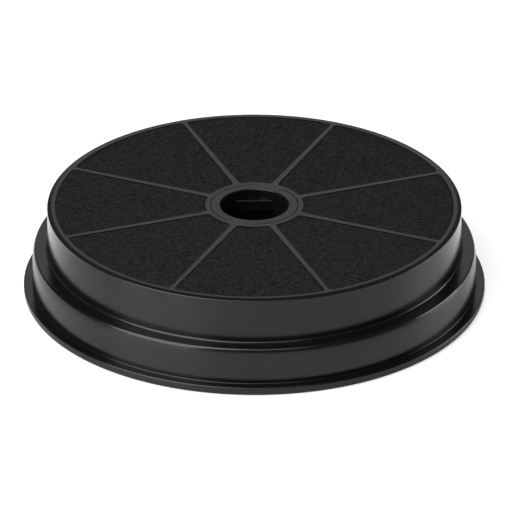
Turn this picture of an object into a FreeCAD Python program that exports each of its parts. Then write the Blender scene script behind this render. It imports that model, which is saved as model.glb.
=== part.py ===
import FreeCAD, Part
import math
import os
import re
import Sketcher
from FreeCAD import Placement, Rotation, Vector

# A round carbon filter for a cooker hood. A stepped black shell with an eight-spoked face holds a bed of
# granulated carbon between two felt discs, and a spoked cover closes it from below. The hood's spigot
# enters the bush in the middle and locks with a twist.
# The origin is the centre of the underside, +Z points out of the spoked face. Millimetres and degrees.

DIMENSIONS = [
    # The stepped shell: the drum, the ledge round it, the skirt below and the flange that seats on the fan
    ("drum_radius", 105.1),
    ("rim_height", 47.3),
    ("ledge_width", 6.5),
    ("ledge_height", 23.6),
    ("flange_width", 5.9),
    ("flange_height", 4.8),
    ("flange_plate", 2.0),
    ("flange_lip_width", 3.2),
    ("flange_top_bevel", 0.5),
    ("flange_bottom_bevel", 1.6),
    ("flange_root_bevel", 0.8),
    ("ledge_edge_bevel", 0.9),
    ("rim_chamfer_width", 2.4),
    ("rim_chamfer_drop", 0.45),
    ("shell_wall", 2.0),
    ("drum_edge_bevel", 0.4),
    # The spoked face and its hub
    ("grille_thickness", 2.4),
    ("rim_width", 4.0),
    ("hub_ring_width", 2.75),
    ("hub_boss_wall", 1.6),
    ("spoke_count", 8),
    ("spoke_turn", 21.1),
    ("spoke_hub_width", 2.6),
    ("spoke_rim_width", 1.8),
    ("hub_corner_radius", 3.0),
    ("rim_corner_radius", 2.0),
    # The bayonet bush
    ("bore_radius", 17.35),
    ("mouth_land_length", 5.0),
    ("bore_relief", 0.4),
    ("bush_flange_width", 2.85),
    ("bush_flange_thickness", 1.0),
    ("bush_flange_clearance", 0.15),
    ("bush_wall", 1.8),
    ("bush_clearance", 0.3),
    ("bush_mouth_chamfer", 0.5),
    ("bayonet_count", 3),
    ("bayonet_turn", 90.0),
    ("bayonet_window_angle", 62.0),
    ("bayonet_window_depth", 11.6),
    ("bayonet_lug_depth", 2.35),
    ("bayonet_lug_thickness", 6.1),
    ("bayonet_lug_bevel", 1.8),
    ("barb_angle", 9.0),
    ("barb_depth", 0.9),
    ("barb_height", 2.6),
    ("barb_clearance", 0.2),
    # The felt discs and the carbon between them
    ("felt_thickness", 2.0),
    ("felt_recess", 0.25),
    ("felt_clearance", 0.2),
    # The rear cover and the lugs that hold it
    ("cover_thickness", 2.0),
    ("cover_clearance", 0.3),
    ("cover_rim_width", 4.2),
    ("cover_hub_width", 9.65),
    ("cover_spoke_width", 3.0),
    ("cover_corner_radius", 3.0),
    ("cover_spigot_wall", 1.6),
    ("cover_rib_width", 1.4),
    ("cover_rib_depth", 3.0),
    ("snap_lug_count", 8),
    ("snap_lug_angle", 6.0),
    ("snap_lug_depth", 1.2),
    ("snap_lug_height", 3.0),
    ("snap_lug_clearance", 0.1),
]
NAMES = {name for name, _ in DIMENSIONS}

# Places that several pieces share, worked out from the sizes above
SKIRT_RADIUS = "(drum_radius + ledge_width)"
FLANGE_RADIUS = f"({SKIRT_RADIUS} + flange_width)"
DRUM_BORE = "(drum_radius - shell_wall)"
SKIRT_BORE = f"({SKIRT_RADIUS} - shell_wall)"
SHOULDER = "(ledge_height - shell_wall)"
GRILLE_BACK = "(rim_height - grille_thickness)"
OPENING_RADIUS = "(drum_radius - rim_width)"
BUSH_TUBE = "(bore_radius + bush_wall)"
BUSH_FLANGE_RADIUS = f"({BUSH_TUBE} + bush_flange_width)"
COUNTERBORE = f"({BUSH_FLANGE_RADIUS} + bush_flange_clearance)"
HUB_RING_RADIUS = f"({COUNTERBORE} + hub_ring_width)"
BOSS_BORE = f"({BUSH_TUBE} + bush_clearance)"
BOSS_RADIUS = f"({BOSS_BORE} + hub_boss_wall)"
BUSH_SEAT = "(rim_height - bush_flange_thickness)"
COVER_BACK = f"({SHOULDER} - cover_thickness)"
SPIGOT_RADIUS = f"({DRUM_BORE} - cover_clearance)"
SPIGOT_BORE = f"({SPIGOT_RADIUS} - cover_spigot_wall)"
COVER_OPENING_RADIUS = f"({SPIGOT_BORE} - cover_rim_width)"
COVER_HOLE = f"({BOSS_RADIUS} + cover_clearance)"
COVER_HUB_RADIUS = f"({COVER_HOLE} + cover_hub_width)"
LUG_OFFSET = "(bore_radius - bayonet_lug_depth)"
WINDOW_TOP = "(rim_height - bayonet_window_depth)"
WINDOW_FOOT = SHOULDER
BUSH_FOOT = f"({COVER_BACK} - barb_clearance - barb_height)"

doc = FreeCAD.newDocument("cooker_hood_filter")
sheet = doc.addObject("Spreadsheet::Sheet", "Dimensions")
for row, (name, number) in enumerate(DIMENSIONS, start=1):
    sheet.set(f"A{row}", name)
    sheet.set(f"B{row}", str(number))
    sheet.setAlias(f"B{row}", name)
doc.recompute()


def bound(words):
    """The expression as other objects write it, with each size read from the sheet."""
    return re.sub(r"[a-z_]+", lambda word: f"Dimensions.{word[0]}" if word[0] in NAMES else word[0], words)


def size(words):
    """The number that an expression over the sizes has now."""
    result = sheet.evalExpression(words)
    return float(getattr(result, "Value", result))


def bind(feature, prop, words):
    """Ties a property to an expression over the sizes."""
    feature.setExpression(prop, bound(words))


def origin_part(body, role):
    """One of the body's own origin planes or axes."""
    return next(part for part in body.Origin.OriginFeatures if part.Role == role)


def new_body(label, turn="0"):
    """An empty piece, turned about the filter's axis."""
    body = doc.addObject("PartDesign::Body", label)
    body.Label = label
    body.Placement = Placement(Vector(0, 0, 0), Rotation(Vector(0, 0, 1), size(turn)))
    bind(body, "Placement.Rotation.Angle", turn)
    return body


def new_sketch(body, label, role, height="0", turn="0"):
    """A sketch on an origin plane of the body, lifted by a height and turned about its normal."""
    sketch = body.newObject("Sketcher::SketchObject", label)
    sketch.AttachmentSupport = (origin_part(body, role), [""])
    sketch.MapMode = "FlatFace"
    sketch.AttachmentOffset = Placement(Vector(0, 0, size(height)), Rotation(Vector(0, 0, 1), size(turn)))
    bind(sketch, "AttachmentOffset.Base.z", height)
    bind(sketch, "AttachmentOffset.Rotation.Angle", turn)
    return sketch


def hold(sketch, kind, line, end, words):
    """Fixes one coordinate of a line's end, or lays it on the axis where the expression is 0."""
    if words == "0":
        axis = -1 if kind == "DistanceY" else -2
        sketch.addConstraint(Sketcher.Constraint("PointOnObject", line, end, axis))
        return
    index = sketch.addConstraint(Sketcher.Constraint(kind, -1, 1, line, end, size(words)))
    bind(sketch, f"Constraints[{index}]", words)


def outline(body, label, corners):
    """A closed section in the plane of the axis, one radius and height for each corner."""
    sketch = new_sketch(body, label, "XZ_Plane")
    points = [Vector(size(radius), size(height), 0) for radius, height in corners]
    count = len(points)
    for line in range(count):
        sketch.addGeometry(Part.LineSegment(points[line], points[(line + 1) % count]))
    for line in range(count):
        sketch.addConstraint(Sketcher.Constraint("Coincident", line, 2, (line + 1) % count, 1))
    for line, (radius, height) in enumerate(corners):
        hold(sketch, "DistanceX", line, 1, radius)
        hold(sketch, "DistanceY", line, 1, height)
    return sketch


def turned(body, label, corners, angle="360", kind="PartDesign::Revolution"):
    """A section turned about the filter's axis, all the way round or evenly to both sides of +X."""
    sketch = outline(body, f"{label}_section", corners)
    feature = body.newObject(kind, label)
    feature.Profile = sketch
    feature.ReferenceAxis = (origin_part(body, "Z_Axis"), [""])
    feature.Midplane = angle != "360"
    bind(feature, "Angle", angle)
    body.Tip = feature
    doc.recompute()
    return feature


def around(body, label, feature, count):
    """Repeats a feature evenly about the filter's axis."""
    pattern = body.newObject("PartDesign::PolarPattern", label)
    pattern.Originals = [feature]
    pattern.Axis = (origin_part(body, "Z_Axis"), [""])
    pattern.Angle = 360
    bind(pattern, "Occurrences", count)
    body.Tip = pattern
    doc.recompute()
    return pattern


def flank(radius, width):
    """How far a window's corner lies from the window's own centre line, beside a spoke of that width."""
    return f"{radius} * sin(180 deg / spoke_count - asin({width} / 2 / {radius}))"


def window(body, label, height, inner, outer, inner_width, outer_width, gap="0"):
    """The outline of one window between two tapering spokes, drawn smaller by a gap all round."""
    sketch = new_sketch(body, label, "XY_Plane", height, "180 / spoke_count")
    near = f"({inner} + {gap})"
    far = f"({outer} - {gap})"
    near_flank = flank(near, f"({inner_width} + 2 * {gap})")
    far_flank = flank(far, f"({outer_width} + 2 * {gap})")
    arcs = []
    for radius, reach in ((near, near_flank), (far, far_flank)):
        half = math.asin(size(reach) / size(radius))
        arcs.append(Part.ArcOfCircle(Part.Circle(Vector(0, 0, 0), Vector(0, 0, 1), size(radius)), -half, half))
    sketch.addGeometry(arcs[0])
    sketch.addGeometry(Part.LineSegment(arcs[0].EndPoint, arcs[1].EndPoint))
    sketch.addGeometry(arcs[1])
    sketch.addGeometry(Part.LineSegment(arcs[1].StartPoint, arcs[0].StartPoint))
    for arc, radius, reach in ((0, near, near_flank), (2, far, far_flank)):
        sketch.addConstraint(Sketcher.Constraint("Coincident", arc, 3, -1, 1))
        index = sketch.addConstraint(Sketcher.Constraint("Radius", arc, size(radius)))
        bind(sketch, f"Constraints[{index}]", radius)
        hold(sketch, "DistanceY", arc, 2, reach)
        sketch.addConstraint(Sketcher.Constraint("Symmetric", arc, 1, arc, 2, -1))
    sketch.addConstraint(Sketcher.Constraint("Coincident", 1, 1, 0, 2))
    sketch.addConstraint(Sketcher.Constraint("Coincident", 1, 2, 2, 2))
    sketch.addConstraint(Sketcher.Constraint("Coincident", 3, 1, 2, 1))
    sketch.addConstraint(Sketcher.Constraint("Coincident", 3, 2, 0, 1))
    return sketch


def segment(body, label, height, radius, offset):
    """The outline between an arc about the axis and a straight chord at an offset from the axis."""
    sketch = new_sketch(body, label, "XY_Plane", height)
    half = math.acos(size(offset) / size(radius))
    arc = Part.ArcOfCircle(Part.Circle(Vector(0, 0, 0), Vector(0, 0, 1), size(radius)), -half, half)
    sketch.addGeometry(arc)
    sketch.addGeometry(Part.LineSegment(arc.EndPoint, arc.StartPoint))
    sketch.addConstraint(Sketcher.Constraint("Coincident", 0, 3, -1, 1))
    index = sketch.addConstraint(Sketcher.Constraint("Radius", 0, size(radius)))
    bind(sketch, f"Constraints[{index}]", radius)
    sketch.addConstraint(Sketcher.Constraint("Coincident", 1, 1, 0, 2))
    sketch.addConstraint(Sketcher.Constraint("Coincident", 1, 2, 0, 1))
    sketch.addConstraint(Sketcher.Constraint("Vertical", 1))
    hold(sketch, "DistanceX", 1, 1, offset)
    return sketch


def eased(body, kind, label, chosen, prop, words):
    """Eases the edges of the piece so far that the test chooses, by a fillet or a chamfer."""
    base = body.Tip
    names = [f"Edge{n}" for n, edge in enumerate(base.Shape.Edges, start=1) if chosen(edge)]
    if not names:
        raise RuntimeError(f"{label} found no edge")
    feature = body.newObject(kind, label)
    feature.Base = (base, names)
    bind(feature, prop, words)
    body.Tip = feature
    doc.recompute()


def rounded(body, label, chosen, radius):
    """Rounds the chosen edges."""
    eased(body, "PartDesign::Fillet", label, chosen, "Radius", radius)


def bevelled(body, label, chosen, width):
    """Bevels the chosen edges."""
    eased(body, "PartDesign::Chamfer", label, chosen, "Size", width)


def ring_edge(*places):
    """Chooses the circular edges about the axis at any of the given radii and heights."""
    wanted = [(size(radius), size(height)) for radius, height in places]

    def test(edge):
        if edge.Curve.TypeId != "Part::GeomCircle":
            return False
        found = (edge.Curve.Radius, edge.Curve.Center.z)
        return any(math.dist(found, place) < 0.01 for place in wanted)

    return test


def upright_edge(radius):
    """Chooses the upright edges at the given distance from the axis."""
    wanted = size(radius)

    def test(edge):
        low, high = edge.Vertexes[0].Point, edge.Vertexes[-1].Point
        upright = math.hypot(low.x - high.x, low.y - high.y) < 0.001
        return upright and abs(math.hypot(low.x, low.y) - wanted) < 0.01

    return test


def chord_edge(offset, height):
    """Chooses the straight level edges at a height that pass the axis at an offset."""
    wanted = (size(offset), size(height))

    def test(edge):
        low, high = edge.Vertexes[0].Point, edge.Vertexes[-1].Point
        level = abs(low.z - high.z) < 0.001 and edge.Curve.TypeId == "Part::GeomLine"
        found = (math.hypot(low.x + high.x, low.y + high.y) / 2, low.z)
        return level and math.dist(found, wanted) < 0.01

    return test


def cut_through(body, label, sketch):
    """Cuts a sketch downwards through all that lies below it."""
    before = body.Tip.Shape.Volume
    pocket = body.newObject("PartDesign::Pocket", label)
    pocket.Profile = sketch
    pocket.Type = "ThroughAll"
    body.Tip = pocket
    doc.recompute()
    if pocket.Shape.Volume > before - 1:
        raise RuntimeError(f"{label} cut nothing")
    return pocket


def make_housing():
    """The moulded shell: spoked face, rim, drum, ledge, skirt, flange and the boss round the hub."""
    body = new_body("housing", "spoke_turn")
    lip_bore = f"({FLANGE_RADIUS} - flange_lip_width)"
    plate_back = "(flange_height - flange_plate)"
    turned(body, "shell", [
        (BOSS_BORE, COVER_BACK),
        (BOSS_BORE, BUSH_SEAT),
        (COUNTERBORE, BUSH_SEAT),
        (COUNTERBORE, "rim_height"),
        ("drum_radius - rim_chamfer_width", "rim_height"),
        ("drum_radius", "rim_height - rim_chamfer_drop"),
        ("drum_radius", "ledge_height"),
        (SKIRT_RADIUS, "ledge_height"),
        (SKIRT_RADIUS, "flange_height"),
        (FLANGE_RADIUS, "flange_height"),
        (FLANGE_RADIUS, "0"),
        (lip_bore, "0"),
        (lip_bore, plate_back),
        (SKIRT_RADIUS, plate_back),
        (SKIRT_RADIUS, "0"),
        (SKIRT_BORE, "0"),
        (SKIRT_BORE, SHOULDER),
        (DRUM_BORE, SHOULDER),
        (DRUM_BORE, GRILLE_BACK),
        (BOSS_RADIUS, GRILLE_BACK),
        (BOSS_RADIUS, COVER_BACK),
    ])
    bevelled(body, "ledge_edge", ring_edge((SKIRT_RADIUS, "ledge_height")), "ledge_edge_bevel")
    bevelled(body, "flange_top", ring_edge((FLANGE_RADIUS, "flange_height")), "flange_top_bevel")
    bevelled(body, "flange_bottom", ring_edge((FLANGE_RADIUS, "0")), "flange_bottom_bevel")
    bevelled(body, "flange_root", ring_edge((SKIRT_RADIUS, "flange_height")), "flange_root_bevel")
    bevelled(body, "drum_edges", ring_edge(("drum_radius", "rim_height - rim_chamfer_drop"),
                                           ("drum_radius", "ledge_height")), "drum_edge_bevel")
    opening = window(body, "face_window", "rim_height", HUB_RING_RADIUS, OPENING_RADIUS,
                     "spoke_hub_width", "spoke_rim_width")
    around(body, "face_windows", cut_through(body, "face_opening", opening), "spoke_count")
    rounded(body, "hub_corners", upright_edge(HUB_RING_RADIUS), "hub_corner_radius")
    rounded(body, "rim_corners", upright_edge(OPENING_RADIUS), "rim_corner_radius")
    lug_top = f"({COVER_BACK} - snap_lug_clearance)"
    lug = turned(body, "snap_lug", [
        (f"{SKIRT_BORE} - snap_lug_depth", lug_top),
        (f"{SKIRT_BORE} + shell_wall / 2", lug_top),
        (f"{SKIRT_BORE} + shell_wall / 2", f"{lug_top} - snap_lug_height"),
        (SKIRT_BORE, f"{lug_top} - snap_lug_height"),
    ], "snap_lug_angle")
    around(body, "snap_lugs", lug, "snap_lug_count")
    return body


def make_bayonet_bush():
    """The bush in the hub. The spigot's lugs pass up between its own, and a twist seats them on the ramps.

    The window under each lug lets the mould form it. Two lands guide the spigot, one at the foot and one at the
    mouth, and between them the bore is a little wider.
    """
    body = new_body("bayonet_bush", "bayonet_turn")
    relief = "(bore_radius + bore_relief)"
    land_top = "(rim_height - bush_mouth_chamfer)"
    land_foot = f"({land_top} - mouth_land_length)"
    turned(body, "tube", [
        ("bore_radius", BUSH_FOOT),
        ("bore_radius", WINDOW_FOOT),
        (relief, WINDOW_FOOT),
        (relief, land_foot),
        ("bore_radius", land_foot),
        ("bore_radius", land_top),
        ("bore_radius + bush_mouth_chamfer", "rim_height"),
        (BUSH_FLANGE_RADIUS, "rim_height"),
        (BUSH_FLANGE_RADIUS, BUSH_SEAT),
        (BUSH_TUBE, BUSH_SEAT),
        (BUSH_TUBE, BUSH_FOOT),
    ])
    wall_middle = "(bore_radius + bush_wall / 2)"
    opening = turned(body, "bayonet_window", [
        (LUG_OFFSET, WINDOW_FOOT),
        (LUG_OFFSET, WINDOW_TOP),
        (BOSS_BORE, WINDOW_TOP),
        (BOSS_BORE, WINDOW_FOOT),
    ], "bayonet_window_angle", "PartDesign::Groove")
    around(body, "bayonet_windows", opening, "bayonet_count")
    lug = body.newObject("PartDesign::Pad", "bayonet_lug")
    lug.Profile = segment(body, "bayonet_lug_outline", WINDOW_TOP, wall_middle, LUG_OFFSET)
    bind(lug, "Length", "bayonet_lug_thickness")
    body.Tip = lug
    doc.recompute()
    around(body, "bayonet_lugs", lug, "bayonet_count")
    lug_top = f"{WINDOW_TOP} + bayonet_lug_thickness"
    bevelled(body, "lug_ramps", chord_edge(LUG_OFFSET, lug_top), "bayonet_lug_bevel")
    barb = turned(body, "barb", [
        (wall_middle, BUSH_FOOT),
        (BUSH_TUBE, BUSH_FOOT),
        (f"{BUSH_TUBE} + bush_clearance + barb_depth", f"{BUSH_FOOT} + barb_height"),
        (wall_middle, f"{BUSH_FOOT} + barb_height"),
    ], "barb_angle")
    around(body, "barbs", barb, "bayonet_count")
    return body


def felt_disc(label, top, edge):
    """A disc of felt round the boss, with its upper face at the given height."""
    body = new_body(label, "spoke_turn")
    hole = f"{BOSS_RADIUS} + felt_clearance"
    turned(body, f"{label}_disc", [
        (hole, f"{top} - felt_thickness"),
        (f"{edge} - felt_clearance", f"{top} - felt_thickness"),
        (f"{edge} - felt_clearance", top),
        (hole, top),
    ])
    return body


def make_front_felt():
    """The felt behind the face. The carbon presses it up into the windows, almost flush with the spokes."""
    body = felt_disc("front_felt", GRILLE_BACK, DRUM_BORE)
    panel = window(body, "felt_panel", GRILLE_BACK, HUB_RING_RADIUS, OPENING_RADIUS,
                   "spoke_hub_width", "spoke_rim_width", "felt_clearance")
    pad = body.newObject("PartDesign::Pad", "felt_swelling")
    pad.Profile = panel
    bind(pad, "Length", "grille_thickness - felt_recess")
    body.Tip = pad
    doc.recompute()
    around(body, "felt_swellings", pad, "spoke_count")
    rounded(body, "felt_hub_corners", upright_edge(f"{HUB_RING_RADIUS} + felt_clearance"),
            "hub_corner_radius - felt_clearance")
    rounded(body, "felt_rim_corners", upright_edge(f"{OPENING_RADIUS} - felt_clearance"),
            "rim_corner_radius - felt_clearance")
    return body


def make_back_felt():
    """The plain felt disc that the cover presses against the carbon."""
    return felt_disc("back_felt", f"({SHOULDER} + felt_thickness)", SPIGOT_BORE)


def make_carbon_bed():
    """The filling of granulated carbon, one closed bed between the felts."""
    body = new_body("carbon_bed")
    low = f"{SHOULDER} + felt_thickness"
    high = f"{GRILLE_BACK} - felt_thickness"
    turned(body, "filling", [
        (f"{BOSS_RADIUS} + felt_clearance", low),
        (f"{DRUM_BORE} - felt_clearance", low),
        (f"{DRUM_BORE} - felt_clearance", high),
        (f"{BOSS_RADIUS} + felt_clearance", high),
    ])
    return body


def make_back_cover():
    """The rear grille. Its edge bears on the shoulder under the ledge, and a spigot ring centres it."""
    body = new_body("back_cover", "spoke_turn")
    turned(body, "plate", [
        (COVER_HOLE, COVER_BACK),
        (COVER_HOLE, SHOULDER),
        (SPIGOT_BORE, SHOULDER),
        (SPIGOT_BORE, f"{SHOULDER} + felt_thickness"),
        (SPIGOT_RADIUS, f"{SHOULDER} + felt_thickness"),
        (SPIGOT_RADIUS, SHOULDER),
        (f"{SKIRT_BORE} - cover_clearance", SHOULDER),
        (f"{SKIRT_BORE} - cover_clearance", COVER_BACK),
    ])
    opening = window(body, "cover_window", SHOULDER, COVER_HUB_RADIUS, COVER_OPENING_RADIUS,
                     "cover_spoke_width", "cover_spoke_width")
    around(body, "cover_windows", cut_through(body, "cover_opening", opening), "spoke_count")
    rounded(body, "cover_hub_corners", upright_edge(COVER_HUB_RADIUS), "cover_corner_radius")
    rounded(body, "cover_rim_corners", upright_edge(COVER_OPENING_RADIUS), "cover_corner_radius")
    sketch = outline(body, "rib_section", [
        (COVER_HUB_RADIUS, f"{COVER_BACK} + cover_thickness / 2"),
        (f"{COVER_HUB_RADIUS} - cover_rib_depth", COVER_BACK),
        (COVER_HUB_RADIUS, f"{COVER_BACK} - cover_rib_depth"),
        (COVER_OPENING_RADIUS, f"{COVER_BACK} - cover_rib_depth"),
        (f"{COVER_OPENING_RADIUS} + cover_rib_depth", COVER_BACK),
        (COVER_OPENING_RADIUS, f"{COVER_BACK} + cover_thickness / 2"),
    ])
    rib = body.newObject("PartDesign::Pad", "rib")
    rib.Profile = sketch
    rib.Midplane = True
    bind(rib, "Length", "cover_rib_width")
    body.Tip = rib
    doc.recompute()
    around(body, "ribs", rib, "spoke_count")
    return body


pieces = [
    make_housing(),
    make_bayonet_bush(),
    make_front_felt(),
    make_carbon_bed(),
    make_back_felt(),
    make_back_cover(),
]
doc.recompute()

for feature in doc.Objects:
    if {"Invalid", "Error"} & set(feature.State):
        raise RuntimeError(f"{feature.Label} failed: {feature.State}")
os.makedirs("parts", exist_ok=True)
for piece in pieces:
    shape = piece.Shape
    if shape.isNull() or not shape.isValid() or len(shape.Solids) != 1:
        raise RuntimeError(f"{piece.Label} is not one valid solid")
    shape.exportStep(f"parts/{piece.Label}.step")
    print(piece.Label, "volume", round(shape.Volume), "faces", len(shape.Faces))
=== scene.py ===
import math

import bpy
from mathutils import Matrix, Vector, noise


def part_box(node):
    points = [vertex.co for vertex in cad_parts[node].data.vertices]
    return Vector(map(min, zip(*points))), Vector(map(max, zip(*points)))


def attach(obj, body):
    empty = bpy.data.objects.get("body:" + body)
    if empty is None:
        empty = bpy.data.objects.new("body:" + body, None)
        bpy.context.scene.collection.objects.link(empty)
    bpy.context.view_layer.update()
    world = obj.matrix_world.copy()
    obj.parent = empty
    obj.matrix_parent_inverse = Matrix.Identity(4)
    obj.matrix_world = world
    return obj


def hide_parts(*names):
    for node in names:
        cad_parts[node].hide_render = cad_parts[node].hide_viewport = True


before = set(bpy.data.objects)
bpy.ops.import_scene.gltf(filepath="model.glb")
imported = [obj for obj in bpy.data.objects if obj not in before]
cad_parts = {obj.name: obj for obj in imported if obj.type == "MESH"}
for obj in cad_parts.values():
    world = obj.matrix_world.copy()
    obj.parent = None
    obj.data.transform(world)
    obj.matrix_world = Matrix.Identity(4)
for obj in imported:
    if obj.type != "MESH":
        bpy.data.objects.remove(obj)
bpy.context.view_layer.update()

# The shell: one injection moulding in glossy black polypropylene. The wide flange at the bottom seats on the
# fan's casing, the skirt curves in over its shoulder to the ledge, and the drum's face has eight windows
# between narrow spokes. Its underside is open, and the cover closes it.
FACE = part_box("housing")[1].z
FLANGE_FOOT = 0.0
RING_VERTICES = 360
FLANGE_RADIUS = 0.1175
FLANGE_TOP = 0.0048
FLANGE_PLATE = 0.0020
FLANGE_LIP = 0.0032
SKIRT_RADIUS = 0.1116
SKIRT_SWELL = 0.0012
SHOULDER_WIDTH = 0.0015
SHOULDER_DROP = 0.0045
SHOULDER_STEPS = 12
LEDGE = 0.0236
DRUM_RADIUS = 0.1051
CHAMFER_WIDTH = 0.0024
CHAMFER_DROP = 0.00045
WALL = 0.0020
FACE_THICKNESS = 0.0024
BUSH_RECESS_RADIUS = 0.02230
BUSH_RECESS_DEPTH = 0.0010
BOSS_BORE = 0.01945
BOSS_RADIUS = 0.02105
COVER_BACK = LEDGE - WALL - 0.0020
SAME_EDGE = 1e-5
SAME_POINT = 1e-6


def all_deselected():
    """Leaves object mode with nothing selected, so that an operator acts on one piece only."""
    if bpy.context.object and bpy.context.object.mode == "EDIT":
        bpy.ops.object.mode_set(mode="OBJECT")
    bpy.ops.object.select_all(action="DESELECT")


def picked(piece):
    """Makes a piece the only one selected."""
    all_deselected()
    piece.select_set(True)
    bpy.context.view_layer.objects.active = piece


def lathed(name, profile, vertices=RING_VERTICES):
    """A closed ring on the axis: a circle that is extruded from corner to corner of its section."""
    all_deselected()
    radius, height = profile[0]
    bpy.ops.mesh.primitive_circle_add(vertices=vertices, radius=radius, location=(0, 0, height))
    piece = bpy.context.object
    piece.name = name
    bpy.ops.object.transform_apply(location=True, rotation=True, scale=True)
    bpy.ops.object.mode_set(mode="EDIT")
    bpy.ops.mesh.select_all(action="SELECT")
    for next_radius, next_height in profile[1:] + profile[:1]:
        bpy.ops.mesh.extrude_region_move()
        scale = next_radius / radius
        bpy.ops.transform.resize(value=(scale, scale, 1), center_override=(0, 0, height))
        bpy.ops.transform.translate(value=(0, 0, next_height - height))
        radius, height = next_radius, next_height
    bpy.ops.mesh.select_all(action="SELECT")
    bpy.ops.mesh.remove_doubles(threshold=SAME_POINT)
    bpy.ops.mesh.normals_make_consistent(inside=False)
    bpy.ops.object.mode_set(mode="OBJECT")
    return piece


skirt_face = SKIRT_RADIUS + SKIRT_SWELL
shoulder = []
for step in range(SHOULDER_STEPS + 1):
    tilt = math.pi / 2 * (1 - step / SHOULDER_STEPS)
    shoulder.append((skirt_face - SHOULDER_WIDTH * (1 - math.cos(tilt)),
                     LEDGE - SHOULDER_DROP * (1 - math.sin(tilt))))
shell = lathed("shell", [
    (BOSS_BORE, COVER_BACK),
    (BOSS_BORE, FACE - BUSH_RECESS_DEPTH),
    (BUSH_RECESS_RADIUS, FACE - BUSH_RECESS_DEPTH),
    (BUSH_RECESS_RADIUS, FACE),
    (DRUM_RADIUS - CHAMFER_WIDTH, FACE),
    (DRUM_RADIUS, FACE - CHAMFER_DROP),
    (DRUM_RADIUS, LEDGE),
    *shoulder,
    (skirt_face, FLANGE_TOP),
    (FLANGE_RADIUS, FLANGE_TOP),
    (FLANGE_RADIUS, FLANGE_FOOT),
    (FLANGE_RADIUS - FLANGE_LIP, FLANGE_FOOT),
    (FLANGE_RADIUS - FLANGE_LIP, FLANGE_TOP - FLANGE_PLATE),
    (SKIRT_RADIUS, FLANGE_TOP - FLANGE_PLATE),
    (SKIRT_RADIUS, FLANGE_FOOT),
    (SKIRT_RADIUS - WALL, FLANGE_FOOT),
    (SKIRT_RADIUS - WALL, LEDGE - WALL),
    (DRUM_RADIUS - WALL, LEDGE - WALL),
    (DRUM_RADIUS - WALL, FACE - FACE_THICKNESS),
    (BOSS_RADIUS, FACE - FACE_THICKNESS),
    (BOSS_RADIUS, COVER_BACK),
])

RIM_ROUND = 0.0005
CHAMFER_ROUND = 0.0004
LEDGE_ROUND = 0.0010
FLANGE_CORNER_ROUND = 0.0004
FLANGE_EDGE_ROUND = 0.0006
FLANGE_FOOT_ROUND = 0.0024
JOINT_ROUND = 0.00015
INNER_FOOT_ROUND = 0.0004
WIDE_ROUND = 0.0015
ROUND_STEPS = 4
WIDE_ROUND_STEPS = 8


def edges_chosen(piece, test):
    """Selects the edges whose two ends pass the test, and opens the piece for editing."""
    picked(piece)
    bpy.ops.object.mode_set(mode="EDIT")
    bpy.ops.mesh.select_mode(type="EDGE")
    bpy.ops.mesh.select_all(action="DESELECT")
    bpy.ops.object.mode_set(mode="OBJECT")
    points = [vertex.co for vertex in piece.data.vertices]
    for edge in piece.data.edges:
        edge.select = all(test(points[index]) for index in edge.vertices)
    bpy.ops.object.mode_set(mode="EDIT")


def ring_rounded(piece, radius, height, width):
    """Rounds the circular edge at a radius and height, in finer steps on a wide round."""
    def on_ring(point):
        """Tells whether a point lies on that edge."""
        return abs(point.xy.length - radius) < SAME_EDGE and abs(point.z - height) < SAME_EDGE

    edges_chosen(piece, on_ring)
    steps = ROUND_STEPS if width < WIDE_ROUND else WIDE_ROUND_STEPS
    bpy.ops.mesh.bevel(offset=width, segments=steps, profile=0.5, affect="EDGES")
    bpy.ops.object.mode_set(mode="OBJECT")


for ring_radius, ring_height, ring_width in (
    (DRUM_RADIUS - CHAMFER_WIDTH, FACE, RIM_ROUND),
    (DRUM_RADIUS, FACE - CHAMFER_DROP, CHAMFER_ROUND),
    (DRUM_RADIUS, LEDGE, LEDGE_ROUND),
    (skirt_face, FLANGE_TOP, FLANGE_CORNER_ROUND),
    (FLANGE_RADIUS, FLANGE_TOP, FLANGE_EDGE_ROUND),
    (FLANGE_RADIUS, FLANGE_FOOT, FLANGE_FOOT_ROUND),
    (BUSH_RECESS_RADIUS, FACE, JOINT_ROUND),
    (SKIRT_RADIUS - WALL, FLANGE_FOOT, INNER_FOOT_ROUND),
    (FLANGE_RADIUS - FLANGE_LIP, FLANGE_FOOT, INNER_FOOT_ROUND),
    (SKIRT_RADIUS, FLANGE_FOOT, INNER_FOOT_ROUND),
):
    ring_rounded(shell, ring_radius, ring_height, ring_width)

OPENING_RADIUS = 0.1011
HUB_RADIUS = 0.0249
SPOKES = 8
SPOKE_TURN = math.radians(21.1)
SPOKE_HUB_WIDTH = 0.0030
SPOKE_RIM_WIDTH = 0.0021
SPOKE_ROUND = 0.0004
SPOKE_ROUND_STEPS = 2
SHARP_EDGE = math.radians(40)
HUB_CORNER = 0.0042
RIM_CORNER = 0.0020
CORNER_STEPS = 6
HUB_SIDE_CUTS = 12
RIM_SIDE_CUTS = 32
WINDOW_MARGIN = 1e-4


def window_half(radius, spoke_width):
    """Half the angle that a window takes at a radius, beside a spoke of the given width."""
    return math.pi / SPOKES - math.asin(spoke_width / 2 / radius)


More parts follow.
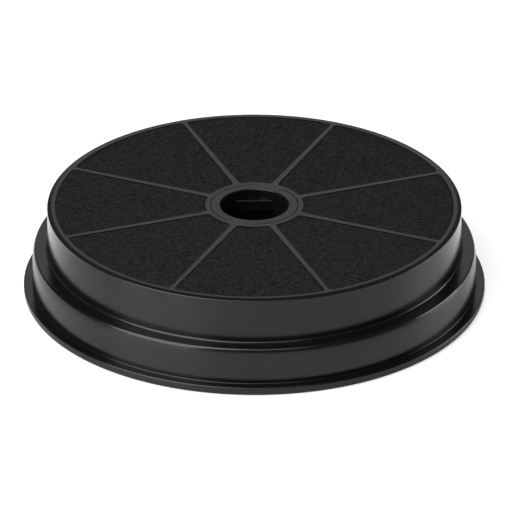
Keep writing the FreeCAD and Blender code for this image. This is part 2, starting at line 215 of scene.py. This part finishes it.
def window_block(name, low, high, gap=0.0):
    """A block with the outline of one window, its corners rounded, smaller than the window by the gap."""
    near, far = HUB_RADIUS + gap, OPENING_RADIUS - gap
    near_half = window_half(near, SPOKE_HUB_WIDTH + 2 * gap)
    far_half = window_half(far, SPOKE_RIM_WIDTH + 2 * gap)
    all_deselected()
    bpy.ops.mesh.primitive_plane_add(size=1, location=(0, 0, 0))
    block = bpy.context.object
    block.name = name
    places = [(near, -near_half), (far, -far_half), (near, near_half), (far, far_half)]
    for vertex, (radius, angle) in zip(block.data.vertices, places):
        vertex.co = (radius * math.cos(angle), radius * math.sin(angle), high)
    for radius, half, cuts in ((near, near_half, HUB_SIDE_CUTS), (far, far_half, RIM_SIDE_CUTS)):
        edges_chosen(block, lambda point: abs(point.xy.length - radius) < SAME_POINT)
        bpy.ops.mesh.subdivide(number_cuts=cuts)
        bpy.ops.object.mode_set(mode="OBJECT")
        chord = radius * math.cos(half)
        for vertex in block.data.vertices:
            if abs(vertex.co.x - chord) < SAME_POINT:
                share = vertex.co.y / (radius * math.sin(half))
                vertex.co.x = radius * math.cos(half * share)
                vertex.co.y = radius * math.sin(half * share)
    for radius, half, corner in ((near, near_half, HUB_CORNER), (far, far_half, RIM_CORNER)):
        picked(block)
        bpy.ops.object.mode_set(mode="EDIT")
        bpy.ops.mesh.select_mode(type="VERT")
        bpy.ops.mesh.select_all(action="DESELECT")
        bpy.ops.object.mode_set(mode="OBJECT")
        tip = Vector((radius * math.cos(half), radius * math.sin(half)))
        for vertex in block.data.vertices:
            vertex.select = (Vector((vertex.co.x, abs(vertex.co.y))) - tip).length < SAME_POINT
        bpy.ops.object.mode_set(mode="EDIT")
        bpy.ops.mesh.bevel(offset=corner - gap, segments=CORNER_STEPS, profile=0.5, affect="VERTICES")
        bpy.ops.object.mode_set(mode="OBJECT")
    bpy.ops.object.mode_set(mode="EDIT")
    bpy.ops.mesh.select_all(action="SELECT")
    bpy.ops.mesh.extrude_region_move(TRANSFORM_OT_translate={"value": (0, 0, low - high)})
    bpy.ops.mesh.select_all(action="SELECT")
    bpy.ops.mesh.normals_make_consistent(inside=False)
    bpy.ops.object.mode_set(mode="OBJECT")
    return block


def repeated(piece, count, first_turn):
    """Copies a piece evenly round the axis and joins the copies into one object."""
    copies = [piece]
    for index in range(1, count):
        copy = piece.copy()
        copy.data = piece.data.copy()
        bpy.context.collection.objects.link(copy)
        copies.append(copy)
    for index, copy in enumerate(copies):
        copy.data.transform(Matrix.Rotation(first_turn + index * math.tau / count, 4, "Z"))
    picked(piece)
    for copy in copies:
        copy.select_set(True)
    bpy.ops.object.join()
    return piece


def combined(piece, tool, operation):
    """Cuts, joins or limits a piece by another one, which is used up."""
    picked(piece)
    boolean = piece.modifiers.new("shape", "BOOLEAN")
    boolean.operation = operation
    boolean.solver = "EXACT"
    boolean.object = tool
    bpy.ops.object.modifier_apply(modifier=boolean.name)
    bpy.data.objects.remove(tool)


def edges_softened(piece, width, test):
    """Rounds the sharp edges that pass the test by a small radius."""
    picked(piece)
    bpy.ops.object.mode_set(mode="EDIT")
    bpy.ops.mesh.select_mode(type="EDGE")
    bpy.ops.mesh.select_all(action="DESELECT")
    bpy.ops.mesh.edges_select_sharp(sharpness=SHARP_EDGE)
    bpy.ops.object.mode_set(mode="OBJECT")
    points = [vertex.co for vertex in piece.data.vertices]
    weights = piece.data.attributes.new("bevel_weight_edge", "FLOAT", "EDGE")
    for edge in piece.data.edges:
        chosen = edge.select and all(test(points[index]) for index in edge.vertices)
        weights.data[edge.index].value = 1.0 if chosen else 0.0
    bevel = piece.modifiers.new("softened", "BEVEL")
    bevel.limit_method = "WEIGHT"
    bevel.width = width
    bevel.segments = SPOKE_ROUND_STEPS
    bevel.use_clamp_overlap = True
    picked(piece)
    bpy.ops.object.modifier_apply(modifier=bevel.name)


def beside_window(point):
    """Tells whether a point lies on top of the face, between the hub and the rim."""
    inner, outer = HUB_RADIUS - WINDOW_MARGIN, OPENING_RADIUS + WINDOW_MARGIN
    return point.z > FACE - SAME_EDGE and inner < point.xy.length < outer


windows = window_block("windows", FACE - 2 * FACE_THICKNESS, FACE + FACE_THICKNESS)
repeated(windows, SPOKES, SPOKE_TURN + math.pi / SPOKES)
combined(shell, windows, "DIFFERENCE")
edges_softened(shell, SPOKE_ROUND, beside_window)

SNAP_LUGS = 8
SNAP_LUG_DEPTH = 0.0012
SNAP_LUG_HEIGHT = 0.0030
SNAP_LUG_WIDTH = 0.0114
SNAP_LUG_GAP = 0.0001
SLOPE_END = 0.45
SMOOTH_DEGREES = 32


def catch(name, root, tip, width, low, high):
    """A small catch on a wall: a block along X with a flat top, whose tip slopes back towards its foot."""
    all_deselected()
    bpy.ops.mesh.primitive_cube_add(size=1, location=((root + tip) / 2, 0, (low + high) / 2),
                                    scale=(abs(tip - root), width, high - low))
    block = bpy.context.object
    block.name = name
    bpy.ops.object.transform_apply(location=True, rotation=True, scale=True)
    edges_chosen(block, lambda point: abs(point.x - tip) < SAME_POINT and abs(point.z - low) < SAME_POINT)
    slope_foot = root + (tip - root) * SLOPE_END
    bpy.ops.transform.translate(value=(slope_foot - tip, 0, 0))
    bpy.ops.object.mode_set(mode="OBJECT")
    return block


def smooth(piece, degrees=SMOOTH_DEGREES):
    """Shades the piece smoothly except over sharp edges, and keeps its wide faces true up to their bevels."""
    picked(piece)
    bpy.ops.object.shade_smooth_by_angle(angle=math.radians(degrees))
    weighted = piece.modifiers.new("weighted", "WEIGHTED_NORMAL")
    weighted.keep_sharp = True
    bpy.ops.object.modifier_apply(modifier=weighted.name)


lug_top = COVER_BACK - SNAP_LUG_GAP
snap_lugs = catch("snap_lugs", SKIRT_RADIUS - WALL / 2, SKIRT_RADIUS - WALL - SNAP_LUG_DEPTH, SNAP_LUG_WIDTH,
                  lug_top - SNAP_LUG_HEIGHT, lug_top)
repeated(snap_lugs, SNAP_LUGS, SPOKE_TURN)
combined(shell, snap_lugs, "UNION")
smooth(shell)
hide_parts("housing")
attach(shell, "root")

# The moulded black polypropylene of the shell, the bush and the cover: glossy from the polished mould, with a
# faint unevenness where the melt has flowed.
PLASTIC_DARK = (0.0034, 0.0034, 0.0036, 1)
PLASTIC_LIGHT = (0.0064, 0.0064, 0.0067, 1)
PLASTIC_IOR = 1.5
FLOW_SCALE = 38.0
HAZE_SCALE = 420.0
RIPPLE_SCALE = 900.0
RIPPLE_STRENGTH = 0.05
RIPPLE_DEPTH = 0.0002
SHELL_ROUGHNESS = (0.18, 0.24)
BUSH_ROUGHNESS = (0.20, 0.28)


def node_of(tree, kind, **values):
    """Adds a shader node and sets its inputs by name."""
    made = tree.nodes.new(kind)
    for key, value in values.items():
        made.inputs[key].default_value = value
    return made


def plain_material(name):
    """A new material with its shader, its tree and a node that gives Object coordinates."""
    material = bpy.data.materials.new(name)
    material.use_nodes = True
    tree = material.node_tree
    place = tree.nodes.new("ShaderNodeTexCoord").outputs["Object"]
    return material, tree, tree.nodes["Principled BSDF"], place


def noise_of(tree, place, scale, detail=2.0, roughness=0.5):
    """A noise pattern's grey value, at a scale in cells per metre."""
    pattern = node_of(tree, "ShaderNodeTexNoise", Scale=scale, Detail=detail, Roughness=roughness)
    tree.links.new(place, pattern.inputs["Vector"])
    return pattern.outputs["Fac"]


def ranged(tree, value, low, high, start=0.3, end=0.7):
    """Spreads a pattern's values from start to end over low to high."""
    spread = tree.nodes.new("ShaderNodeMapRange")
    spread.inputs["From Min"].default_value = start
    spread.inputs["From Max"].default_value = end
    spread.inputs["To Min"].default_value = low
    spread.inputs["To Max"].default_value = high
    tree.links.new(value, spread.inputs["Value"])
    return spread.outputs["Result"]


def blended(tree, share, first, second):
    """A colour between two, by a pattern."""
    mix = tree.nodes.new("ShaderNodeMix")
    mix.data_type = "RGBA"
    tree.links.new(share, mix.inputs["Factor"])
    mix.inputs["A"].default_value = first
    mix.inputs["B"].default_value = second
    return mix.outputs["Result"]


def bumped(tree, shader, height, strength, distance):
    """Gives the shader a bump from a pattern."""
    bump = node_of(tree, "ShaderNodeBump", Strength=strength, Distance=distance)
    tree.links.new(height, bump.inputs["Height"])
    tree.links.new(bump.outputs["Normal"], shader.inputs["Normal"])


def moulded_plastic(name, smoothest, roughest):
    """Glossy black plastic: broad flow marks in the colour, a haze in the gloss and a very low ripple."""
    material, tree, shader, place = plain_material(name)
    flow = noise_of(tree, place, FLOW_SCALE, detail=3.0)
    haze = noise_of(tree, place, HAZE_SCALE, detail=4.0)
    tree.links.new(blended(tree, flow, PLASTIC_DARK, PLASTIC_LIGHT), shader.inputs["Base Color"])
    tree.links.new(ranged(tree, haze, smoothest, roughest), shader.inputs["Roughness"])
    shader.inputs["IOR"].default_value = PLASTIC_IOR
    bumped(tree, shader, noise_of(tree, place, RIPPLE_SCALE), RIPPLE_STRENGTH, RIPPLE_DEPTH)
    return material


def dressed(piece, material):
    """Gives the whole piece one material."""
    piece.data.materials.clear()
    piece.data.materials.append(material)


shell_plastic = moulded_plastic("shell_plastic", *SHELL_ROUGHNESS)
dressed(shell, shell_plastic)

# The bush: a separate black moulding pressed into the hub, where three barbs at its foot hold it. Its flange
# lies in the hub's recess with a hairline joint, and inside its bore three lugs with a window under each hold
# the fan's spigot.
BUSH_LOW, BUSH_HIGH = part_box("bayonet_bush")
BUSH_VERTICES = 180
BUSH_FLANGE_RADIUS = BUSH_HIGH.x
BUSH_TUBE_RADIUS = 0.01915
BUSH_WINDOW_FOOT = LEDGE - WALL
BORE_RADIUS = 0.01735
BORE_RELIEF = 0.0004
MOUTH_LAND = 0.0050
MOUTH_CHAMFER = 0.0003
MOUTH_ROUND = 0.0002
BAYONETS = 3
BAYONET_TURN = math.radians(90)
BAYONET_WINDOW_TOP = FACE - 0.0116
BAYONET_WINDOW_HALF = math.radians(31)
BAYONET_WINDOW_INNER = BORE_RADIUS * 0.7
LUG_INNER = 0.0020
LUG_OFFSET = 0.0150
LUG_OUTER = BORE_RADIUS + 0.0011
LUG_HEIGHT = 0.0061
LUG_BEVEL = 0.0003
BARB_ROOT = (BORE_RADIUS + BUSH_TUBE_RADIUS) / 2
BARB_DEPTH = 0.0009
BARB_HEIGHT = 0.0026
BARB_WIDTH = 0.0030
CUT_MARGIN = 0.001

bush = lathed("bush", [
    (BORE_RADIUS, BUSH_LOW.z),
    (BORE_RADIUS, BUSH_WINDOW_FOOT),
    (BORE_RADIUS + BORE_RELIEF, BUSH_WINDOW_FOOT),
    (BORE_RADIUS + BORE_RELIEF, FACE - MOUTH_CHAMFER - MOUTH_LAND),
    (BORE_RADIUS, FACE - MOUTH_CHAMFER - MOUTH_LAND),
    (BORE_RADIUS, FACE - MOUTH_CHAMFER),
    (BORE_RADIUS + MOUTH_CHAMFER, FACE),
    (BUSH_FLANGE_RADIUS, FACE),
    (BUSH_FLANGE_RADIUS, FACE - BUSH_RECESS_DEPTH),
    (BUSH_TUBE_RADIUS, FACE - BUSH_RECESS_DEPTH),
    (BUSH_TUBE_RADIUS, BUSH_LOW.z),
], vertices=BUSH_VERTICES)
ring_rounded(bush, BUSH_FLANGE_RADIUS, FACE, JOINT_ROUND)
ring_rounded(bush, BORE_RADIUS + MOUTH_CHAMFER, FACE, MOUTH_ROUND)


def upright_box(name, low, high):
    """A block between two corners."""
    all_deselected()
    low, high = Vector(low), Vector(high)
    bpy.ops.mesh.primitive_cube_add(size=1, location=(low + high) / 2, scale=high - low)
    block = bpy.context.object
    block.name = name
    bpy.ops.object.transform_apply(location=True, rotation=True, scale=True)
    return block


reach = BUSH_TUBE_RADIUS * math.sin(BAYONET_WINDOW_HALF)
bayonet_windows = upright_box("bayonet_windows", (BAYONET_WINDOW_INNER, -reach, BUSH_WINDOW_FOOT),
                              (BUSH_TUBE_RADIUS + CUT_MARGIN, reach, BAYONET_WINDOW_TOP))
repeated(bayonet_windows, BAYONETS, BAYONET_TURN)
combined(bush, bayonet_windows, "DIFFERENCE")
lug_ceiling = BAYONET_WINDOW_TOP + LUG_HEIGHT
lug = lathed("lug", [
    (LUG_INNER, BAYONET_WINDOW_TOP),
    (LUG_OUTER, BAYONET_WINDOW_TOP),
    (LUG_OUTER, lug_ceiling),
    (LUG_INNER, lug_ceiling),
], vertices=BUSH_VERTICES)
lug_limit = upright_box("lug_limit", (LUG_OFFSET, -BORE_RADIUS, BAYONET_WINDOW_TOP - CUT_MARGIN),
                        (BORE_RADIUS * 2, BORE_RADIUS, lug_ceiling + CUT_MARGIN))
combined(lug, lug_limit, "INTERSECT")
lug_middle = BAYONET_WINDOW_TOP + LUG_HEIGHT / 2
edges_chosen(lug, lambda point: abs(point.x - LUG_OFFSET) < SAME_EDGE and point.z > lug_middle)
bpy.ops.mesh.bevel(offset=LUG_BEVEL, segments=WIDE_ROUND_STEPS, profile=0.5, affect="EDGES")
bpy.ops.object.mode_set(mode="OBJECT")
repeated(lug, BAYONETS, BAYONET_TURN)
combined(bush, lug, "UNION")
barbs = catch("barbs", BARB_ROOT, BOSS_BORE + BARB_DEPTH, BARB_WIDTH, BUSH_LOW.z, BUSH_LOW.z + BARB_HEIGHT)
repeated(barbs, BAYONETS, BAYONET_TURN)
combined(bush, barbs, "UNION")
smooth(bush)
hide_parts("bayonet_bush")
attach(bush, "root")
dressed(bush, moulded_plastic("bush_plastic", *BUSH_ROUGHNESS))

# The front felt: a disc of black needled felt. The carbon presses it up into the eight windows, so that it
# stands almost level with the spokes, and it is a little lumpy there.
FELT_LOW, FELT_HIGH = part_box("front_felt")
FELT_BODY_TOP = FACE - FACE_THICKNESS
FELT_CLEARANCE = 0.0002
FELT_HOLE = BOSS_RADIUS + FELT_CLEARANCE
FELT_EDGE = DRUM_RADIUS - WALL - FELT_CLEARANCE
FELT_VERTICES = 180
FELT_GAP = 0.0001
FELT_ROOT = 0.0010
FELT_LUMP = 0.00018
FELT_LUMP_SIZE = 0.011
FELT_LUMP_OCTAVES = 3
FELT_GRID = 0.0011
FELT_SMOOTH_DEGREES = 50

front_felt = lathed("front_felt_mat", [
    (FELT_HOLE, FELT_LOW.z),
    (FELT_EDGE, FELT_LOW.z),
    (FELT_EDGE, FELT_BODY_TOP),
    (FELT_HOLE, FELT_BODY_TOP),
], vertices=FELT_VERTICES)
all_deselected()
grid_cells = int(2 * OPENING_RADIUS / FELT_GRID)
bpy.ops.mesh.primitive_grid_add(x_subdivisions=grid_cells, y_subdivisions=grid_cells,
                                size=2 * OPENING_RADIUS, location=(0, 0, 0))
lumps = bpy.context.object
for vertex in lumps.data.vertices:
    lump = noise.fractal(vertex.co / FELT_LUMP_SIZE, 1.0, 2.0, FELT_LUMP_OCTAVES)
    vertex.co.z = FELT_HIGH.z - FELT_LUMP * (1 + max(-1.0, min(1.0, lump)))
bpy.ops.object.mode_set(mode="EDIT")
bpy.ops.mesh.select_all(action="SELECT")
bpy.ops.mesh.extrude_region_move(TRANSFORM_OT_translate={"value": (0, 0, -2 * FACE_THICKNESS)})
bpy.ops.mesh.select_all(action="SELECT")
bpy.ops.mesh.normals_make_consistent(inside=False)
bpy.ops.object.mode_set(mode="OBJECT")
panels = window_block("felt_panels", FELT_BODY_TOP - FELT_ROOT, FACE + FACE_THICKNESS, FELT_GAP)
repeated(panels, SPOKES, SPOKE_TURN + math.pi / SPOKES)
combined(panels, lumps, "INTERSECT")
combined(front_felt, panels, "UNION")
smooth(front_felt, FELT_SMOOTH_DEGREES)
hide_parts("front_felt")
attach(front_felt, "root")

FELT_DARK = (0.0025, 0.0025, 0.0026, 1)
FELT_LIGHT = (0.0330, 0.0330, 0.0338, 1)
FIBRE_LIE = (0.45, 1.3, 1.0)
FIBRE_SCALE = 1350.0
FIBRE_SHARE = 0.85
TUFT_SCALE = 420.0
TUFT_SHARE = 0.15
FELT_ROUGHNESS = 0.9
FELT_SHEEN = 0.12
NAP_STRENGTH = 0.6
NAP_DEPTH = 0.0004


def needled_felt(name):
    """Matt black felt: short pale fibres that lie across, over wider tufts."""
    material, tree, shader, place = plain_material(name)
    lie = node_of(tree, "ShaderNodeMapping", Scale=FIBRE_LIE)
    tree.links.new(place, lie.inputs["Vector"])
    fibres = noise_of(tree, lie.outputs["Vector"], FIBRE_SCALE, detail=3.0, roughness=0.6)
    tufts = noise_of(tree, lie.outputs["Vector"], TUFT_SCALE, detail=4.0, roughness=0.6)
    nap = tree.nodes.new("ShaderNodeMath")
    nap.operation = "ADD"
    nap.use_clamp = True
    tree.links.new(ranged(tree, fibres, 0.0, FIBRE_SHARE, start=0.42, end=0.61), nap.inputs[0])
    tree.links.new(ranged(tree, tufts, 0.0, TUFT_SHARE, start=0.35, end=0.65), nap.inputs[1])
    tree.links.new(blended(tree, nap.outputs["Value"], FELT_DARK, FELT_LIGHT), shader.inputs["Base Color"])
    shader.inputs["Roughness"].default_value = FELT_ROUGHNESS
    shader.inputs["Specular IOR Level"].default_value = FELT_SHEEN
    bumped(tree, shader, nap.outputs["Value"], NAP_STRENGTH, NAP_DEPTH)
    return material


felt = needled_felt("felt")
dressed(front_felt, felt)

# The carbon: loose black granules of activated carbon, which fill the drum between the two felts. One closed
# bed stands for them all, and the felts hide it.
CARBON_DARK = (0.012, 0.012, 0.013, 1)
CARBON_LIGHT = (0.03, 0.03, 0.031, 1)
CARBON_ROUGHNESS = 0.65
GRANULE_SCALE = 480.0
GRANULE_STRENGTH = 0.8
GRANULE_DEPTH = 0.001


def carbon_granules(name):
    """Dull black granules, each a cell of the pattern that is lighter towards its edge."""
    material, tree, shader, place = plain_material(name)
    grains = node_of(tree, "ShaderNodeTexVoronoi", Scale=GRANULE_SCALE)
    tree.links.new(place, grains.inputs["Vector"])
    colour = blended(tree, grains.outputs["Distance"], CARBON_DARK, CARBON_LIGHT)
    tree.links.new(colour, shader.inputs["Base Color"])
    shader.inputs["Roughness"].default_value = CARBON_ROUGHNESS
    bumped(tree, shader, grains.outputs["Distance"], GRANULE_STRENGTH, GRANULE_DEPTH)
    return material


dressed(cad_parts["carbon_bed"], carbon_granules("carbon"))

# The back felt: a plain disc of the same needled felt, without the front one's swell. It lies on the cover
# and keeps the carbon in from below.
BACK_FELT_LOW, BACK_FELT_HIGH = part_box("back_felt")
BACK_FELT_EDGE = BACK_FELT_HIGH.x
back_felt = lathed("back_felt_mat", [
    (FELT_HOLE, BACK_FELT_LOW.z),
    (BACK_FELT_EDGE, BACK_FELT_LOW.z),
    (BACK_FELT_EDGE, BACK_FELT_HIGH.z),
    (FELT_HOLE, BACK_FELT_HIGH.z),
], vertices=FELT_VERTICES)
smooth(back_felt)
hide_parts("back_felt")
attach(back_felt, "root")
dressed(back_felt, felt)

# The cover: the rear grille, moulded in the same plastic. It is pushed up into the skirt until the eight snap
# lugs on the skirt's wall catch under it.
dressed(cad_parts["back_cover"], shell_plastic)

# The floor: pale, with a soft shine, and it keeps the filter's shadow from the lamps. It adds an even white
# glow for the camera. For the glossy plastic to mirror it adds a painted glow: weaker in front of the filter,
# as a painted shade, and nothing under it, as a painted shadow that fades out just past the rim.
FLOOR_SIZE = 12.0
FLOOR_PALE = (0.62, 0.62, 0.62, 1)
FLOOR_ROUGHNESS = 0.32
FLOOR_FILL_SEEN = 0.70
PAINTED_GLOW_FRONT = 0.27
PAINTED_GLOW_BACK = 1.0
PAINTED_SHADOW_EDGE = 0.006
PAINTED_SHADE_FADE_FROM = -0.015
PAINTED_SHADE_FADE_TO = 0.065
all_deselected()
bpy.ops.mesh.primitive_plane_add(size=FLOOR_SIZE, location=(0, 0, 0))
floor = bpy.context.object
floor.name = "floor"
floor_paint, floor_tree, floor_shader, floor_place = plain_material("floor_paint")
floor_shader.inputs["Base Color"].default_value = FLOOR_PALE
floor_shader.inputs["Roughness"].default_value = FLOOR_ROUGHNESS
distance = floor_tree.nodes.new("ShaderNodeVectorMath")
distance.operation = "LENGTH"
floor_tree.links.new(floor_place, distance.inputs[0])
# Painted shadow: the glow that the plastic mirrors is nothing under the filter and rises to full just past
# its rim.
past_painted_rim_shadow = ranged(floor_tree, distance.outputs["Value"], 0.0, 1.0,
                      FLANGE_RADIUS, FLANGE_RADIUS + PAINTED_SHADOW_EDGE)
floor_axes = floor_tree.nodes.new("ShaderNodeSeparateXYZ")
floor_tree.links.new(floor_place, floor_axes.inputs["Vector"])
# Painted shade: the glow that the plastic mirrors is weaker in front of the filter and full behind it.
painted_front_shade = ranged(floor_tree, floor_axes.outputs["Y"], PAINTED_GLOW_FRONT, PAINTED_GLOW_BACK,
                      PAINTED_SHADE_FADE_FROM, PAINTED_SHADE_FADE_TO)


def floor_math(operation, first, second):
    """A sum, product or maximum of two values of the floor's material."""
    step = floor_tree.nodes.new("ShaderNodeMath")
    step.operation = operation
    for slot, value in enumerate((first, second)):
        if isinstance(value, float):
            step.inputs[slot].default_value = value
        else:
            floor_tree.links.new(value, step.inputs[slot])
    return step.outputs["Value"]


floor_rays = floor_tree.nodes.new("ShaderNodeLightPath").outputs
mirror_rays = floor_math("MAXIMUM", floor_rays["Is Glossy Ray"], floor_rays["Is Transmission Ray"])
painted_mirror_glow = floor_math("MULTIPLY", past_painted_rim_shadow, painted_front_shade)
fill = floor_math("ADD", floor_math("MULTIPLY", mirror_rays, painted_mirror_glow),
                  floor_math("MULTIPLY", floor_rays["Is Camera Ray"], FLOOR_FILL_SEEN))
lit = floor_tree.nodes.new("ShaderNodeEmission")
floor_tree.links.new(fill, lit.inputs["Strength"])
floor_sum = floor_tree.nodes.new("ShaderNodeAddShader")
floor_tree.links.new(floor_shader.outputs["BSDF"], floor_sum.inputs[0])
floor_tree.links.new(lit.outputs["Emission"], floor_sum.inputs[1])
floor_tree.links.new(floor_sum.outputs["Shader"], floor_tree.nodes["Material Output"].inputs["Surface"])
dressed(floor, floor_paint)

# The light: four soft lamps round the filter, and a world that is white to the camera. For all other rays the
# world is dim, and dimmer overhead than at the horizon.
HORIZON_LIGHT = 0.12
OVERHEAD_LIGHT = 0.06
OVERHEAD_START = 0.40


def soft_lamp(name, azimuth, elevation, distance, width, height, power):
    """A rectangular lamp that faces the filter. Azimuth 0 is at the camera's side, 90 to its right."""
    around, up = math.radians(azimuth), math.radians(elevation)
    direction = Vector((math.sin(around) * math.cos(up), -math.cos(around) * math.cos(up), math.sin(up)))
    lamp = bpy.data.lights.new(name, "AREA")
    lamp.shape = "RECTANGLE"
    lamp.size = width
    lamp.size_y = height
    lamp.energy = power
    holder = bpy.data.objects.new(name, lamp)
    holder.location = direction * distance
    holder.rotation_euler = direction.to_track_quat("Z", "Y").to_euler()
    bpy.context.scene.collection.objects.link(holder)


soft_lamp("left_lamp", azimuth=-50, elevation=40, distance=1.6, width=1.4, height=2.2, power=36)
soft_lamp("front_lamp", azimuth=0, elevation=53, distance=1.6, width=1.1, height=0.9, power=5.5)
soft_lamp("right_lamp", azimuth=105, elevation=14, distance=1.8, width=1.0, height=0.7, power=8)
soft_lamp("back_panel", azimuth=180, elevation=27, distance=2.0, width=0.85, height=1.05, power=1.3)

world = bpy.data.worlds.new("room")
bpy.context.scene.world = world
world.use_nodes = True
sky = world.node_tree
air = sky.nodes["Background"]
air.inputs["Color"].default_value = (1, 1, 1, 1)
sky_direction = sky.nodes.new("ShaderNodeTexCoord").outputs["Generated"]
sky_axes = sky.nodes.new("ShaderNodeSeparateXYZ")
sky.links.new(sky_direction, sky_axes.inputs["Vector"])
sky_light = ranged(sky, sky_axes.outputs["Z"], HORIZON_LIGHT, OVERHEAD_LIGHT, 0.0, OVERHEAD_START)
sky.links.new(sky_light, air.inputs["Strength"])
white = sky.nodes.new("ShaderNodeBackground")
white.inputs["Strength"].default_value = 1.0
sky_rays = sky.nodes.new("ShaderNodeLightPath").outputs
choice = sky.nodes.new("ShaderNodeMixShader")
sky.links.new(sky_rays["Is Camera Ray"], choice.inputs["Fac"])
sky.links.new(air.outputs["Background"], choice.inputs[1])
sky.links.new(white.outputs["Background"], choice.inputs[2])
sky.links.new(choice.outputs["Shader"], sky.nodes["World Output"].inputs["Surface"])

# The camera: a long lens from the front, well above the filter. It is turned and rolled by less than a tenth
# of a degree.
CAMERA_DISTANCE = 3.44898
CAMERA_ELEVATION = math.radians(27.494)
VIEW_ELEVATION = math.radians(27.2213)
VIEW_YAW = math.radians(0.0068)
VIEW_ROLL = math.radians(0.086)
FOCAL_PIXELS = 6759.9
PICTURE_PIXELS = 510
SENSOR_WIDTH = 36

camera = bpy.data.cameras.new("camera")
camera.sensor_width = SENSOR_WIDTH
camera.lens = SENSOR_WIDTH * FOCAL_PIXELS / PICTURE_PIXELS
eye = bpy.data.objects.new("camera", camera)
bpy.context.scene.collection.objects.link(eye)
ahead = Vector((math.sin(VIEW_YAW) * math.cos(VIEW_ELEVATION), math.cos(VIEW_YAW) * math.cos(VIEW_ELEVATION),
                -math.sin(VIEW_ELEVATION)))
level = Vector((math.cos(VIEW_YAW), -math.sin(VIEW_YAW), 0))
upward = level.cross(ahead)
right = level * math.cos(VIEW_ROLL) + upward * math.sin(VIEW_ROLL)
upward = upward * math.cos(VIEW_ROLL) - level * math.sin(VIEW_ROLL)
stand = Vector((0, -math.cos(CAMERA_ELEVATION), math.sin(CAMERA_ELEVATION))) * CAMERA_DISTANCE
eye.matrix_world = Matrix((
    (right.x, upward.x, -ahead.x, stand.x),
    (right.y, upward.y, -ahead.y, stand.y),
    (right.z, upward.z, -ahead.z, stand.z),
    (0, 0, 0, 1),
))
bpy.context.scene.camera = eye
bpy.context.scene.view_settings.view_transform = "Standard"
